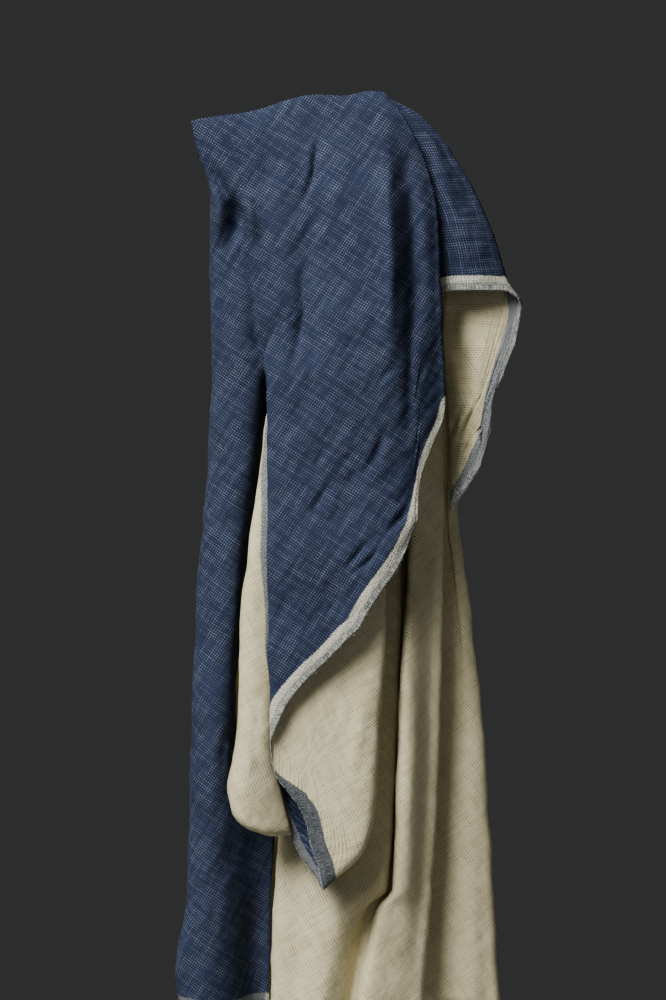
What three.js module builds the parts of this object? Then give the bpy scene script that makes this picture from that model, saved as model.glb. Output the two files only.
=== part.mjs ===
// A length of double gauze linen hung from one hidden point: navy face outside, natural face inside.
// The whole cloth is one sheet. Level sections run round it as a path through the lines named in LINES,
// from the free edge behind the third column of the back, round the left side, over the front layers
// and out to the free edge inside the hood. Every column of the sheet falls from the ridge to its hem.
// Millimetres, +Z up, the front towards -Y. The origin is under the ridge, where the cloth is held.
import * as THREE from 'three';

const CLOTH_THICKNESS = 1.5;
const HOLD_DROP = 4;              // drops are counted from the top of the ridge, this far above the origin
const RIDGE_ROUNDING = 24;        // drop over which front and back close into the ridge
const RIDGE_START = 1.2;          // drop of the first row below the crest
const CROWN_ROWS = [0, 3, 9, 20, 40];   // drops of the first rows below the ridge, then even rows
const SLIT_DROP = 222;            // the front layers part below this drop
const ROWS_TO_SLIT = 8;
const ROWS_BELOW_SLIT = 13;
const FOLD_POINTS = 3;            // section points of a fold: where it starts, its outermost line, where it ends
const FOLD_ENTRY = [0, 0.5];      // where the columns of a fold lie among those points, before its centre
const FOLD_EXIT = [1.5, 2];       // and after it
const HEM_SEARCH_STEP = 4;
const OPEN_GAP = 4;               // layers this far apart make an open fold
const SHUT_SPACING = 0.6;         // spacing of a fold's columns where it has run out into flat cloth
const NAVY = 0x2d3a5c;

// Ridge height. Columns: across, drop.
const RIDGE = [[-123, 22], [-116, 20], [-76, 15], [-26, 1], [-1, 2], [22, -2], [32, 0], [35, 5]];

// Hems. Columns: across, drop. Each gives the lower end of the columns that meet it.
const HEMS = {
  back: [[-140, 730], [-100, 736], [-50, 732], [0, 737], [60, 732], [126, 737]],
  pouch: [[-92, 563], [-88, 574], [-78, 583], [-69, 587], [-57, 590], [-42, 590]],
  inner: [[-95, 566], [-75, 556], [-58, 545], [-53, 565], [-46, 583], [-38, 602], [-18, 632]],
  layer: [[-61, 519], [-56, 538], [-46, 553], [-38, 563], [-32, 574], [-29, 586], [-26, 600], [-20, 614],
    [-18, 632]],
  flap: [[-61, 519], [-52, 498], [-46, 485], [-30, 466], [-11, 447], [7, 427], [26, 399], [44, 372],
    [53, 346], [55, 332], [58, 308], [67, 284], [77, 260], [79, 242]],
  pleat: [[62, 196], [79, 242]],
  front: [[62, 196], [70, 172], [75, 160], [90, 158], [110, 158], [129, 158], [142, 167]],
  hood: [[70, 346], [81, 338], [97, 315], [111, 290], [114, 266], [121, 242], [132, 209], [139, 183],
    [142, 167]],
};

// Lines down the cloth, in the order in which a level section meets them.
// A soft line has the columns drop, across, depth. A fold has drop, across, depth before, depth after,
// and side: +1 where its layers lie to the right of it, -1 where they lie to the left.
// `steps` is how many columns lie between the line and the next one, and `hem` is where those end.
const LINES = [
  { name: 'back edge', steps: 2, hem: 'back', rows: [
    [5, 36, 6], [101, 58, 24], [205, 70, 44], [405, 74, 54], [733, 73, 60]] },
  { name: 'right turn', side: -1, steps: 1, hem: 'back', rows: [
    [5, 38, 6, 4], [101, 76, 22, 14], [205, 92, 44, 32], [330, 91, 50, 36], [406, 101, 54, 36],
    [538, 114, 58, 38], [733, 126, 62, 42]] },
  { name: 'third column', steps: 2, hem: 'back', rows: [
    [5, 34, 4], [101, 58, 14], [205, 79, 33], [330, 85, 40], [538, 99, 38], [733, 104, 36]] },
  { name: 'pleat root', side: 1, steps: 1, hem: 'back', rows: [
    [5, 31, 4, 4], [101, 47, 13, 11], [205, 65, 31, 22], [330, 66, 40, 28], [538, 60, 42, 30],
    [733, 50, 42, 30]] },
  { name: 'second edge', side: -1, steps: 2, hem: 'back', rows: [
    [5, 29, 5, 5], [101, 50, 10, 4], [205, 77, 12, 2], [330, 79, 18, 3], [482, 77, 20, 4], [594, 72, 20, 4],
    [678, 66, 20, 4], [733, 62, 20, 4]] },
  { name: 'slot right', steps: 1, hem: 'back', rows: [
    [5, 24, 5], [101, 30, 5], [245, 56, -6], [325, 56, -11], [373, 53, -14], [406, 51.5, -15],
    [437, 49, -16], [485, 46.5, -17], [547, 44, -17], [637, 40.5, -13], [651, 31, -11], [680, 24, -10],
    [733, 13, -10]] },
  { name: 'slot root right', steps: 1, hem: 'back', rows: [
    [5, 22, 5], [101, 27, 9], [245, 52, 34], [406, 48.5, 38], [485, 44.5, 36], [600, 40, 30],
    [637, 37.5, 22], [651, 25, 14], [680, 17, 11], [733, 7, 8]] },
  { name: 'slot root left', steps: 1, hem: 'back', rows: [
    [5, 20, 5], [101, 24, 9], [245, 47.5, 34], [406, 45, 38], [485, 41.5, 36], [600, 36, 30], [637, 33, 22],
    [651, 20, 14], [680, 12, 11], [733, 2, 8]] },
  { name: 'slot left', steps: 2, hem: 'back', rows: [
    [5, 18, 5], [101, 21, 5], [245, 43, 6], [406, 43, 6], [485, 40.5, 4], [547, 38, 2], [637, 31, -3],
    [651, 15, -3], [680, 3, -2], [733, -6, -2]] },
  { name: 'first column', steps: 2, hem: 'back', rows: [
    [5, -20, 6], [101, -12, 12], [245, -4, 8], [485, 0, 0], [613, 4, -6], [645, -4, -12],
    [733, -22, -12]] },
  { name: 'first edge', side: 1, steps: 2, hem: 'back', rows: [
    [5, -62, 7, 7], [101, -49, 12, 16], [245, -46, 8, 20], [485, -49, 2, 20], [591, -53, -2, 18],
    [646, -57, -4, 18], [733, -59, -4, 18]] },
  { name: 'deep left', steps: 3, hem: 'back', rows: [
    [5, -84, 6], [101, -66, 24], [245, -74, 34], [485, -87, 38], [733, -89, 40]] },
  { name: 'left turn', side: 1, steps: 2, hem: 'back', rows: [
    [22, -123, 2, -2], [50, -116, 6, -7], [81, -107, 10, -12], [126, -107, 14, -15], [227, -106, 16, -17],
    [302, -110, 17, -18], [348, -114, 18, -19], [394, -118, 18, -20], [529, -123, 20, -20],
    [645, -126, 20, -20], [698, -135, 18, -20], [733, -132, 18, -20]] },
  { name: 'left panel', steps: 2, hem: 'back', rows: [
    [22, -104, -7], [101, -90, -20], [200, -85, -23.5], [325, -90, -22.5], [485, -99, -22.5],
    [605, -103, -21.5], [733, -109, -22]] },
  { name: 'panel turn', steps: 2, hem: 'back', rows: [
    [22, -84, -9], [101, -81, -23], [181, -74, -26], [200, -71, -25], [239, -70, -20], [262, -72, -18],
    [290, -74, -17], [327, -79, -16], [373, -84, -16], [426, -88, -16], [485, -92, -15], [551, -93, -13],
    [605, -90, -10], [650, -88, -8], [733, -90, -7]] },
  { name: 'panel end', steps: 0, hem: 'back', rows: [
    [22, -83, -9], [101, -80, -23], [181, -75, -25], [205, -67, -23], [222, -62, -19], [239, -62, -10],
    [262, -61, 3], [300, -64, 8], [345, -71, 8], [373, -76, 8], [426, -83, 9], [485, -88, 9],
    [530, -87, 10], [572, -64, 12.5], [591, -56, 13.5], [646, -59.5, 13.5], [733, -61.5, 13.5]] },
  { name: 'strip edge', steps: 2, hem: 'pouch', rows: [
    [22, -83, -9], [101, -80, -23], [181, -75, -25], [205, -67, -23], [222, -62, -19], [230, -57, -26],
    [240, -54, -32], [262, -57, -33], [325, -58, -34], [470, -57, -37], [517, -58, -37], [541, -54, -34],
    [565, -48, -29], [590, -42, -27]] },
  { name: 'strip turn', side: 1, steps: 3, hem: 'inner', rows: [
    [22, -81, -9, -9], [101, -78, -23, -23], [181, -73, -25, -25], [205, -65, -23, -23],
    [222, -60, -21, -21], [240, -57.5, -30, -24], [258, -61.5, -31, -23], [289, -65, -33, -22],
    [321, -70, -35, -22], [373, -77, -39, -22], [426, -83, -42, -22], [498, -84, -46, -22],
    [525, -87, -48, -22], [551, -92, -48, -22], [590, -87, -46, -24]] },
  { name: 'hidden turn', side: -1, steps: 5, hem: 'layer', rows: [
    [22, -79, -9, -9], [101, -76, -23, -23], [181, -71, -25, -25], [205, -62, -22, -24],
    [222, -57, -19, -25], [240, -34, -19, -30], [277, -4, -19, -32], [325, 20, -19, -34],
    [373, 31, -19, -36], [437, 32, -19, -38], [478, 30, -20, -40], [549, 24, -22, -42], [576, 22, -24, -42],
    [593, 18, -26, -42], [606, 11, -28, -42], [616, 1, -30, -42], [632, -18, -34, -40]] },
  { name: 'flap fold', side: 1, steps: 3, hem: 'flap', rows: [
    [22, -77, -9, -9], [101, -74, -23, -23], [181, -69, -26, -28], [205, -66, -30, -38],
    [239, -61, -37, -47], [325, -61, -40, -50], [437, -60, -42, -52], [517, -59, -44, -52],
    [632, -59, -44, -52]] },
  { name: 'flap middle', steps: 4, hem: 'flap', rows: [
    [5, -22, -9], [45, -18, -24], [101, -15, -38], [200, -10, -52], [325, -8, -56], [437, -12, -57],
    [517, -12, -56]] },
  { name: 'flap ridge', steps: 3, hem: 'flap', rows: [
    [0, 32, -7], [44, 33, -29], [81, 34.5, -43], [118, 36.5, -53], [189, 38, -60], [325, 37, -58],
    [517, 32, -55]] },
  { name: 'flap turn', side: -1, steps: 1, hem: 'pleat', rows: [
    [2, 34, -6, -6], [22, 47, -12, -11], [66, 66, -20, -17], [102, 73, -26, -20], [149, 75, -32, -24],
    [182, 76, -36, -27], [237, 79, -38, -30], [517, 79, -38, -30]] },
  { name: 'pleat inner', side: 1, steps: 2, hem: 'front', rows: [
    [3, 35, -5, -5], [22, 48, -10, -9], [66, 63, -16, -13], [102, 63, -17, -12], [149, 62, -21, -14],
    [237, 63, -26, -17]] },
  { name: 'hood front', steps: 2, hem: 'front', rows: [
    [5, 36, -4], [38, 68, -10], [70, 82, -14], [102, 94, -16], [149, 102, -18], [168, 103, -18]] },
  { name: 'hood turn', side: -1, steps: 2, hem: 'hood', rows: [
    [6, 37, -3, 3], [16, 57, -4, 3], [38, 79, -5, 4], [70, 98, -6, 4], [102, 113, -7, 4], [125, 122, -8, 4],
    [149, 129, -9, 3], [168, 141, -8, 2], [197, 143, -8, 2], [337, 140, -6, 2]] },
  { name: 'hood inside', steps: 2, hem: 'hood', rows: [
    [6, 35, 4], [38, 72, 7], [102, 98, 9], [165, 106, 5], [205, 106, 1], [245, 104, -3], [337, 102, -9]] },
  { name: 'hood edge', steps: 0, hem: 'hood', rows: [
    [6, 34, 4], [38, 66, 8], [102, 85, 12], [165, 80, 15], [205, 76, 19], [245, 82, 12], [290, 84, 7],
    [337, 85, 2]] },
];

const FIRST_FRONT_LINE = LINES.findIndex(({ name }) => name === 'left panel');

const clamp = (value, low, high) => Math.min(high, Math.max(low, value));
const mix = (from, to, share) => from + (to - from) * share;

// The value of one column of a table at a key, smooth between its rows and level past its ends.
function lookUp(rows, key, column) {
  if (key <= rows[0][0]) return rows[0][column];
  const last = rows.length - 1;
  if (key >= rows[last][0]) return rows[last][column];
  let i = 0;
  while (rows[i + 1][0] < key) i += 1;
  const slope = (a, b) => (rows[b][column] - rows[a][column]) / (rows[b][0] - rows[a][0]);
  const middle = slope(i, i + 1);
  const tangent = (before, after) => (before * after > 0 ? 2 * before * after / (before + after) : 0);
  const startSlope = i > 0 ? tangent(slope(i - 1, i), middle) : middle;
  const endSlope = i < last - 1 ? tangent(middle, slope(i + 1, i + 2)) : middle;
  const width = rows[i + 1][0] - rows[i][0];
  const t = (key - rows[i][0]) / width;
  const [t2, t3] = [t * t, t * t * t];
  return rows[i][column] * (2 * t3 - 3 * t2 + 1) + startSlope * width * (t3 - 2 * t2 + t)
    + rows[i + 1][column] * (3 * t2 - 2 * t3) + endSlope * width * (t3 - t2);
}

// The points of one level section, before the ridge closes it. A fold gives three points and a soft line one.
function sectionPoints(drop) {
  return LINES.flatMap(({ side, rows }, index) => {
    const travel = index < FIRST_FRONT_LINE ? -1 : 1;
    const across = lookUp(rows, drop, 1);
    const before = lookUp(rows, drop, 2);
    if (!side) return [new THREE.Vector3(across, before, 0)];
    const after = lookUp(rows, drop, 3);
    const gap = Math.abs(after - before);
    const openness = clamp(gap / OPEN_GAP, 0, 1);
    const inward = side * gap / 2;
    return [
      new THREE.Vector3(across + mix(-travel * SHUT_SPACING, inward, openness), before, 0),
      new THREE.Vector3(across, (before + after) / 2, 0),
      new THREE.Vector3(across + mix(travel * SHUT_SPACING, inward, openness), after, 0),
    ];
  });
}

// The columns of the sheet: where each lies along the section, as a count of section points.
function layOutColumns() {
  const columns = [];
  let at = 0;
  LINES.forEach((line, index) => {
    const next = LINES[index + 1];
    const centre = line.side ? at + 1 : at;
    if (line.side) {
      for (const part of FOLD_ENTRY) columns.push({ at: at + part, hem: LINES[index - 1].hem });
    }
    columns.push({ at: centre, line: line.name, hem: line.hem });
    if (line.side) {
      for (const part of FOLD_EXIT) columns.push({ at: at + part, hem: line.hem });
    }
    const start = line.side ? at + FOLD_POINTS - 1 : at;
    for (let step = 1; step < line.steps; step += 1) {
      columns.push({ at: start + step / line.steps, hem: line.hem });
    }
    at = start + (next ? 1 : 0);
  });
  return columns;
}

const POINT_COUNT = sectionPoints(0).length;

// A point of the cloth's middle surface: across and depth at a place along the section and a drop.
function sectionAt(at, drop) {
  const curve = new THREE.CatmullRomCurve3(sectionPoints(drop), false, 'centripetal');
  return curve.getPoint(at / (POINT_COUNT - 1));
}

// The drop at which a column meets its hem.
function hemDrop(column, top) {
  const hem = HEMS[column.hem];
  let low = top;
  let high = top;
  const beyond = (drop) => drop - lookUp(hem, sectionAt(column.at, drop).x, 1) > 0;
  const deepest = Math.max(...hem.map(([, drop]) => drop)) + HEM_SEARCH_STEP;
  while (high < deepest && !beyond(high)) {
    low = high;
    high += HEM_SEARCH_STEP;
  }
  for (let pass = 0; pass < 12; pass += 1) {
    const middle = (low + high) / 2;
    if (beyond(middle)) high = middle; else low = middle;
  }
  return (low + high) / 2;
}

// The drops of a column's rows: close under the ridge, then even down to the slit and down to the hem.
function rowDrops(top, end) {
  const split = Math.min(SLIT_DROP, mix(top, end, 0.6));
  const drops = [];
  for (let row = 0; row <= ROWS_TO_SLIT; row += 1) {
    const crown = CROWN_ROWS[row];
    const lastCrown = CROWN_ROWS[CROWN_ROWS.length - 1];
    const evenShare = (row - CROWN_ROWS.length + 1) / (ROWS_TO_SLIT - CROWN_ROWS.length + 1);
    drops.push(crown === undefined ? mix(top + lastCrown, split, evenShare) : top + crown);
  }
  for (let row = 1; row <= ROWS_BELOW_SLIT; row += 1) {
    drops.push(mix(split, end, row / ROWS_BELOW_SLIT));
  }
  return drops;
}

// A column of points from the ridge down to the hem.
function fallOf(column) {
  const crest = lookUp(RIDGE, sectionAt(column.at, 0).x, 1);
  const top = crest + RIDGE_START;
  const end = hemDrop(column, top + RIDGE_ROUNDING);
  return rowDrops(top, end).map((drop) => {
    const { x, y } = sectionAt(column.at, drop);
    const closing = 1 - clamp((drop - crest) / RIDGE_ROUNDING, 0, 1);
    return new THREE.Vector3(x, y * Math.sqrt(1 - closing * closing), HOLD_DROP - drop);
  });
}

// The middle surface as points and triangles, its outer face where the triangles run anticlockwise.
function middleSurface() {
  const columns = layOutColumns();
  const falls = columns.map(fallOf);
  const points = [];
  const grid = falls.map((fall) => fall.map((point) => points.push(point) - 1));
  const place = (name) => columns.findIndex((column) => column.line === name);
  const panelEnd = place('panel end');
  const stripEdge = place('strip edge');
  for (let row = 0; row <= ROWS_TO_SLIT; row += 1) grid[stripEdge][row] = grid[panelEnd][row];

  const triangles = [];
  for (let column = 0; column < columns.length - 1; column += 1) {
    if (column === panelEnd) continue;
    for (let row = 0; row < grid[column].length - 1; row += 1) {
      const [a, b] = [grid[column][row], grid[column][row + 1]];
      const [c, d] = [grid[column + 1][row + 1], grid[column + 1][row]];
      triangles.push([a, b, c], [a, c, d]);
    }
  }

  // The crest joins the front's first row to the back's, from the left corner to the right end.
  const corner = place('left turn');
  let back = corner;
  let front = corner;
  const backEnd = place('right turn');
  const frontEnd = place('hood turn');
  const skip = (column) => (column === panelEnd ? column + 2 : column + 1);
  while (back > backEnd || front < frontEnd) {
    const across = (column) => points[grid[column][0]].x;
    const frontNext = front < frontEnd ? skip(front) : front;
    const backNext = back > backEnd ? back - 1 : back;
    const stepFront = back === backEnd || (front < frontEnd && across(frontNext) <= across(backNext));
    const [f, b] = [grid[front][0], grid[back][0]];
    if (stepFront) {
      if (f !== b || front !== corner) triangles.push([b, f, grid[frontNext][0]]);
      front = frontNext;
    } else {
      if (f !== b || back !== corner) triangles.push([b, f, grid[backNext][0]]);
      back = backNext;
    }
  }
  return { points, triangles };
}

// A closed body: the outer and inner faces half a thickness either side, and a rim round every edge.
function thicken({ points, triangles }, thickness) {
  const normals = points.map(() => new THREE.Vector3());
  const faces = triangles.filter(([a, b, c]) => a !== b && b !== c && a !== c);
  for (const face of faces) {
    const [a, b, c] = face.map((index) => points[index]);
    const normal = b.clone().sub(a).cross(c.clone().sub(a));
    face.forEach((index) => normals[index].add(normal));
  }
  const used = [...new Set(faces.flat())];
  const slot = new Map(used.map((index, order) => [index, order]));
  const positions = [];
  for (const side of [1, -1]) {
    for (const index of used) {
      const offset = normals[index].clone().normalize().multiplyScalar(side * thickness / 2);
      positions.push(...points[index].clone().add(offset).toArray());
    }
  }
  const outer = (index) => slot.get(index);
  const inner = (index) => slot.get(index) + used.length;
  const indices = [];
  const edges = new Set();
  for (const [a, b, c] of faces) {
    indices.push(outer(a), outer(b), outer(c), inner(a), inner(c), inner(b));
    for (const [from, to] of [[a, b], [b, c], [c, a]]) edges.add(`${from},${to}`);
  }
  for (const edge of edges) {
    const [from, to] = edge.split(',').map(Number);
    if (edges.has(`${to},${from}`)) continue;
    indices.push(outer(to), outer(from), inner(from), outer(to), inner(from), inner(to));
  }
  const geometry = new THREE.BufferGeometry();
  geometry.setAttribute('position', new THREE.Float32BufferAttribute(positions, 3));
  geometry.setIndex(indices);
  geometry.computeVertexNormals();
  return geometry;
}

const finish = new THREE.MeshStandardMaterial({ color: NAVY, roughness: 0.9, metalness: 0 });
const cloth = new THREE.Mesh(thicken(middleSurface(), CLOTH_THICKNESS), finish);
cloth.name = 'draped_cloth';

const group = new THREE.Group();
group.name = 'double_gauze_linen_fabric';
group.add(cloth);

export default group;
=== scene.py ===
"""A length of double gauze linen hung in folds from one hidden point.

The cloth is one sheet, navy outside and natural inside. Level sections run round it through named
lines, and the sheet falls from the ridge to its hems. The finishes follow the weave, which runs
parallel to the woven edge, so the cloth hangs on the bias over the flap.
"""

from __future__ import annotations

import logging
import math
from dataclasses import dataclass, field
from enum import Enum, IntEnum

import bmesh
import bpy
import numpy as np
from mathutils import Matrix, Vector, noise

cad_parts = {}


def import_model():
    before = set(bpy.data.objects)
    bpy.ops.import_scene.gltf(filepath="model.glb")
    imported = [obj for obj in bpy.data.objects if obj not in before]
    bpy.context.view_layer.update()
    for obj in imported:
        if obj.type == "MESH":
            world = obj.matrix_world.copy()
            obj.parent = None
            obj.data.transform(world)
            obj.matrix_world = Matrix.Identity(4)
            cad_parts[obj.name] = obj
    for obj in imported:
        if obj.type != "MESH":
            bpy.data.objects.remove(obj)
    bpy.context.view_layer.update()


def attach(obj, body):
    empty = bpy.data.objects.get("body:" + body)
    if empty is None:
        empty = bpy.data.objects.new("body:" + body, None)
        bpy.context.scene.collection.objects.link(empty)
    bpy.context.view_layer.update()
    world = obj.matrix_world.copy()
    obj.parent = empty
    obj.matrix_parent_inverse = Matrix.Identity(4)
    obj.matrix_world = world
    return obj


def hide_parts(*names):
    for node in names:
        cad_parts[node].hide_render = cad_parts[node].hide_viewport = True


LOG = logging.getLogger("linen")
MM = 0.001
TINY = 1e-9
NODE = "draped_cloth"


# ---------------------------------------------------------------- shape of the folds


class Hem(Enum):
    """The hems that columns of the cloth end on."""

    BACK = "back"
    POUCH = "pouch"
    INNER = "inner"
    LAYER = "layer"
    FLAP = "flap"
    PLEAT = "pleat"
    FRONT = "front"
    HOOD = "hood"


class Fold(IntEnum):
    """The side of a line that the two layers of its fold lie on."""

    NONE = 0
    RIGHT = 1
    LEFT = -1


@dataclass(frozen=True)
class Line:
    """One line down the cloth, in millimetres.

    A soft line has rows of drop, across and depth. A fold has drop, across, depth before and depth
    after. The hem is the one that ends the columns between this line and the next.
    """

    name: str
    hem: Hem
    rows: tuple[tuple[float, ...], ...]
    fold: Fold = Fold.NONE


LINES: tuple[Line, ...] = (
    Line("back edge", Hem.BACK, ((5, 36, 6), (101, 58, 24), (205, 70, 44), (405, 74, 54), (733, 73, 60))),
    Line("right turn", Hem.BACK, (
        (5, 38, 6, 4), (101, 76, 22, 14), (205, 92, 44, 32), (330, 91, 50, 36), (406, 101, 54, 36),
        (538, 114, 58, 38), (733, 126, 62, 42)), Fold.LEFT),
    Line("third column", Hem.BACK, (
        (5, 34, 4), (101, 58, 14), (205, 79, 33), (330, 85, 40), (538, 99, 38), (733, 104, 36))),
    Line("pleat root", Hem.BACK, (
        (5, 31, 4, 4), (101, 47, 13, 11), (205, 65, 31, 22), (330, 66, 40, 28), (538, 60, 42, 30),
        (733, 50, 42, 30)), Fold.RIGHT),
    Line("second edge", Hem.BACK, (
        (5, 29, 5, 5), (101, 50, 10, 4), (205, 77, 12, 2), (330, 79, 18, 3), (482, 77, 20, 4),
        (594, 72, 20, 4), (678, 66, 20, 4), (733, 62, 20, 4)), Fold.LEFT),
    Line("slot right", Hem.BACK, (
        (5, 24, 5), (101, 30, 5), (245, 56, -6), (325, 56, -11), (373, 53, -14), (406, 51.5, -15),
        (437, 49, -16), (485, 46.5, -17), (547, 44, -17), (637, 40.5, -13), (651, 31, -11),
        (680, 24, -10), (733, 13, -10))),
    Line("slot root right", Hem.BACK, (
        (5, 22, 5), (101, 27, 9), (245, 52, 34), (406, 48.5, 38), (485, 44.5, 36), (600, 40, 30),
        (637, 37.5, 22), (651, 25, 14), (680, 17, 11), (733, 7, 8))),
    Line("slot root left", Hem.BACK, (
        (5, 20, 5), (101, 24, 9), (245, 47.5, 34), (406, 45, 38), (485, 41.5, 36), (600, 36, 30),
        (637, 33, 22), (651, 20, 14), (680, 12, 11), (733, 2, 8))),
    Line("slot left", Hem.BACK, (
        (5, 18, 5), (101, 21, 5), (245, 43, 6), (406, 43, 6), (485, 40.5, 4), (547, 38, 2), (637, 31, -3),
        (651, 15, -3), (680, 3, -2), (733, -6, -2))),
    Line("first column", Hem.BACK, (
        (5, -20, 6), (101, -12, 12), (245, -4, 8), (485, 0, 0), (613, 4, -6), (645, -4, -12),
        (733, -22, -12))),
    Line("first edge", Hem.BACK, (
        (5, -62, 7, 7), (101, -49, 12, 16), (245, -46, 8, 20), (485, -49, 2, 20), (591, -53, -2, 18),
        (646, -57, -4, 18), (733, -59, -4, 18)), Fold.RIGHT),
    Line("deep left", Hem.BACK, (
        (5, -84, 6), (101, -66, 24), (245, -74, 34), (485, -87, 38), (733, -89, 40))),
    Line("left turn", Hem.BACK, (
        (22, -123, 2, -2), (50, -116, 6, -7), (81, -107, 10, -12), (126, -107, 14, -15),
        (227, -106, 16, -17), (302, -110, 17, -18), (348, -114, 18, -19), (394, -118, 18, -20),
        (529, -123, 20, -20), (645, -126, 20, -20), (698, -135, 18, -20),
        (733, -132, 18, -20)), Fold.RIGHT),
    Line("left panel", Hem.BACK, (
        (22, -104, -7), (101, -90, -20), (200, -85, -23.5), (325, -90, -22.5), (485, -99, -22.5),
        (605, -103, -21.5), (733, -109, -22))),
    Line("panel turn", Hem.BACK, (
        (22, -84, -9), (101, -81, -23), (181, -74, -26), (200, -71, -25), (239, -70, -20),
        (262, -72, -18), (290, -74, -17), (327, -79, -16), (373, -84, -16), (426, -88, -16),
        (485, -92, -15), (551, -93, -13), (605, -90, -10), (650, -88, -8), (733, -90, -7))),
    Line("panel end", Hem.BACK, (
        (22, -83, -9), (101, -80, -23), (181, -75, -25), (205, -67, -23), (222, -62, -19),
        (239, -62, -10), (262, -61, 3), (300, -64, 8), (345, -71, 8), (373, -76, 8), (426, -83, 9),
        (485, -88, 9), (530, -87, 10), (572, -64, 12.5), (591, -56, 13.5), (646, -59.5, 13.5),
        (733, -61.5, 13.5))),
    Line("strip edge", Hem.POUCH, (
        (22, -83, -9), (101, -80, -23), (181, -75, -25), (205, -67, -23), (222, -62, -19),
        (230, -57, -26), (240, -54, -32), (262, -57, -33), (325, -58, -34), (470, -57, -37),
        (517, -58, -37), (541, -54, -34), (565, -48, -29), (590, -42, -27))),
    Line("strip turn", Hem.INNER, (
        (22, -81, -9, -9), (101, -78, -23, -23), (181, -73, -25, -25), (205, -65, -23, -23),
        (222, -60, -21, -21), (240, -57.5, -30, -24), (258, -61.5, -31, -23), (289, -65, -33, -22),
        (321, -70, -35, -22), (373, -77, -39, -22), (426, -83, -42, -22), (498, -84, -46, -22),
        (525, -87, -48, -22), (551, -92, -48, -22), (590, -87, -46, -24)), Fold.RIGHT),
    Line("hidden turn", Hem.LAYER, (
        (22, -79, -9, -9), (101, -76, -23, -23), (181, -71, -25, -25), (205, -62, -22, -24),
        (222, -57, -19, -25), (240, -34, -19, -30), (277, -4, -19, -32), (325, 20, -19, -34),
        (373, 31, -19, -36), (437, 32, -19, -38), (478, 30, -20, -40), (549, 24, -22, -42),
        (576, 22, -24, -42), (593, 18, -26, -42), (606, 11, -28, -42), (616, 1, -30, -42),
        (632, -18, -34, -40)), Fold.LEFT),
    Line("flap fold", Hem.FLAP, (
        (22, -77, -9, -9), (101, -74, -23, -23), (181, -69, -26, -28), (205, -66, -30, -38),
        (239, -61, -37, -47), (325, -61, -40, -50), (437, -60, -42, -52), (517, -59, -44, -52),
        (632, -59, -44, -52)), Fold.RIGHT),
    Line("flap middle", Hem.FLAP, (
        (5, -22, -9), (45, -18, -24), (101, -15, -38), (200, -10, -52), (325, -8, -56), (437, -12, -57),
        (517, -12, -56))),
    Line("flap ridge", Hem.FLAP, (
        (0, 32, -7), (44, 33, -29), (81, 34.5, -43), (118, 36.5, -53), (189, 38, -60), (325, 37, -58),
        (517, 32, -55))),
    Line("flap turn", Hem.PLEAT, (
        (2, 34, -6, -6), (22, 47, -12, -11), (66, 66, -20, -17), (102, 73, -26, -20), (149, 75, -32, -24),
        (182, 76, -36, -27), (237, 79, -38, -30), (517, 79, -38, -30)), Fold.LEFT),
    Line("pleat inner", Hem.FRONT, (
        (3, 35, -5, -5), (22, 48, -10, -9), (66, 63, -16, -13), (102, 63, -17, -12), (149, 62, -21, -14),
        (237, 63, -26, -17)), Fold.RIGHT),
    Line("hood front", Hem.FRONT, (
        (5, 36, -4), (38, 68, -10), (70, 82, -14), (102, 94, -16), (149, 102, -18), (168, 103, -18))),
    Line("hood turn", Hem.HOOD, (
        (6, 37, -3, 3), (16, 57, -4, 3), (38, 79, -5, 4), (70, 98, -6, 4), (102, 113, -7, 4),
        (125, 122, -8, 4), (149, 129, -9, 3), (168, 141, -8, 2), (197, 143, -8, 2),
        (337, 140, -6, 2)), Fold.LEFT),
    Line("hood inside", Hem.HOOD, (
        (6, 35, 4), (38, 72, 7), (102, 98, 9), (165, 106, 5), (205, 106, 1), (245, 104, -3),
        (337, 102, -9))),
    Line("hood edge", Hem.HOOD, (
        (6, 34, 4), (38, 66, 8), (102, 85, 12), (165, 80, 15), (205, 76, 19), (245, 82, 12), (290, 84, 7),
        (337, 85, 2))),
)

# Lower ends of the columns. Columns: across, drop, in millimetres.
HEMS: dict[Hem, tuple[tuple[float, float], ...]] = {
    Hem.BACK: ((-140, 730), (-100, 736), (-50, 732), (0, 737), (60, 732), (126, 737)),
    Hem.POUCH: ((-92, 563), (-88, 574), (-78, 583), (-69, 587), (-57, 590), (-42, 590)),
    Hem.INNER: ((-95, 566), (-75, 556), (-58, 545), (-53, 565), (-46, 583), (-38, 602), (-18, 632)),
    Hem.LAYER: (
        (-61, 519), (-56, 538), (-46, 553), (-38, 563), (-32, 574), (-29, 586), (-26, 600), (-20, 614),
        (-18, 632)),
    Hem.FLAP: (
        (-61, 519), (-52, 498), (-46, 485), (-30, 466), (-11, 447), (7, 427), (26, 399), (44, 372),
        (53, 346), (55, 332), (58, 308), (67, 284), (77, 260), (79, 242)),
    Hem.PLEAT: ((62, 196), (79, 242)),
    Hem.FRONT: ((62, 196), (70, 172), (75, 160), (90, 158), (110, 158), (129, 158), (142, 167)),
    Hem.HOOD: (
        (70, 346), (81, 338), (97, 315), (111, 290), (114, 266), (121, 242), (132, 209), (139, 183),
        (142, 167)),
}

# Height of the ridge. Columns: across, drop.
RIDGE: tuple[tuple[float, float], ...] = (
    (-123, 22), (-116, 20), (-76, 15), (-26, 1), (-1, 2), (22, -2), (32, 0), (35, 5))


@dataclass(frozen=True)
class Crease:
    """A soft ridge, or a trough where its lift is negative, in millimetres.

    Its path is in across and drop.
    """

    width: float
    lift: float
    path: tuple[tuple[float, float], ...]


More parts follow.
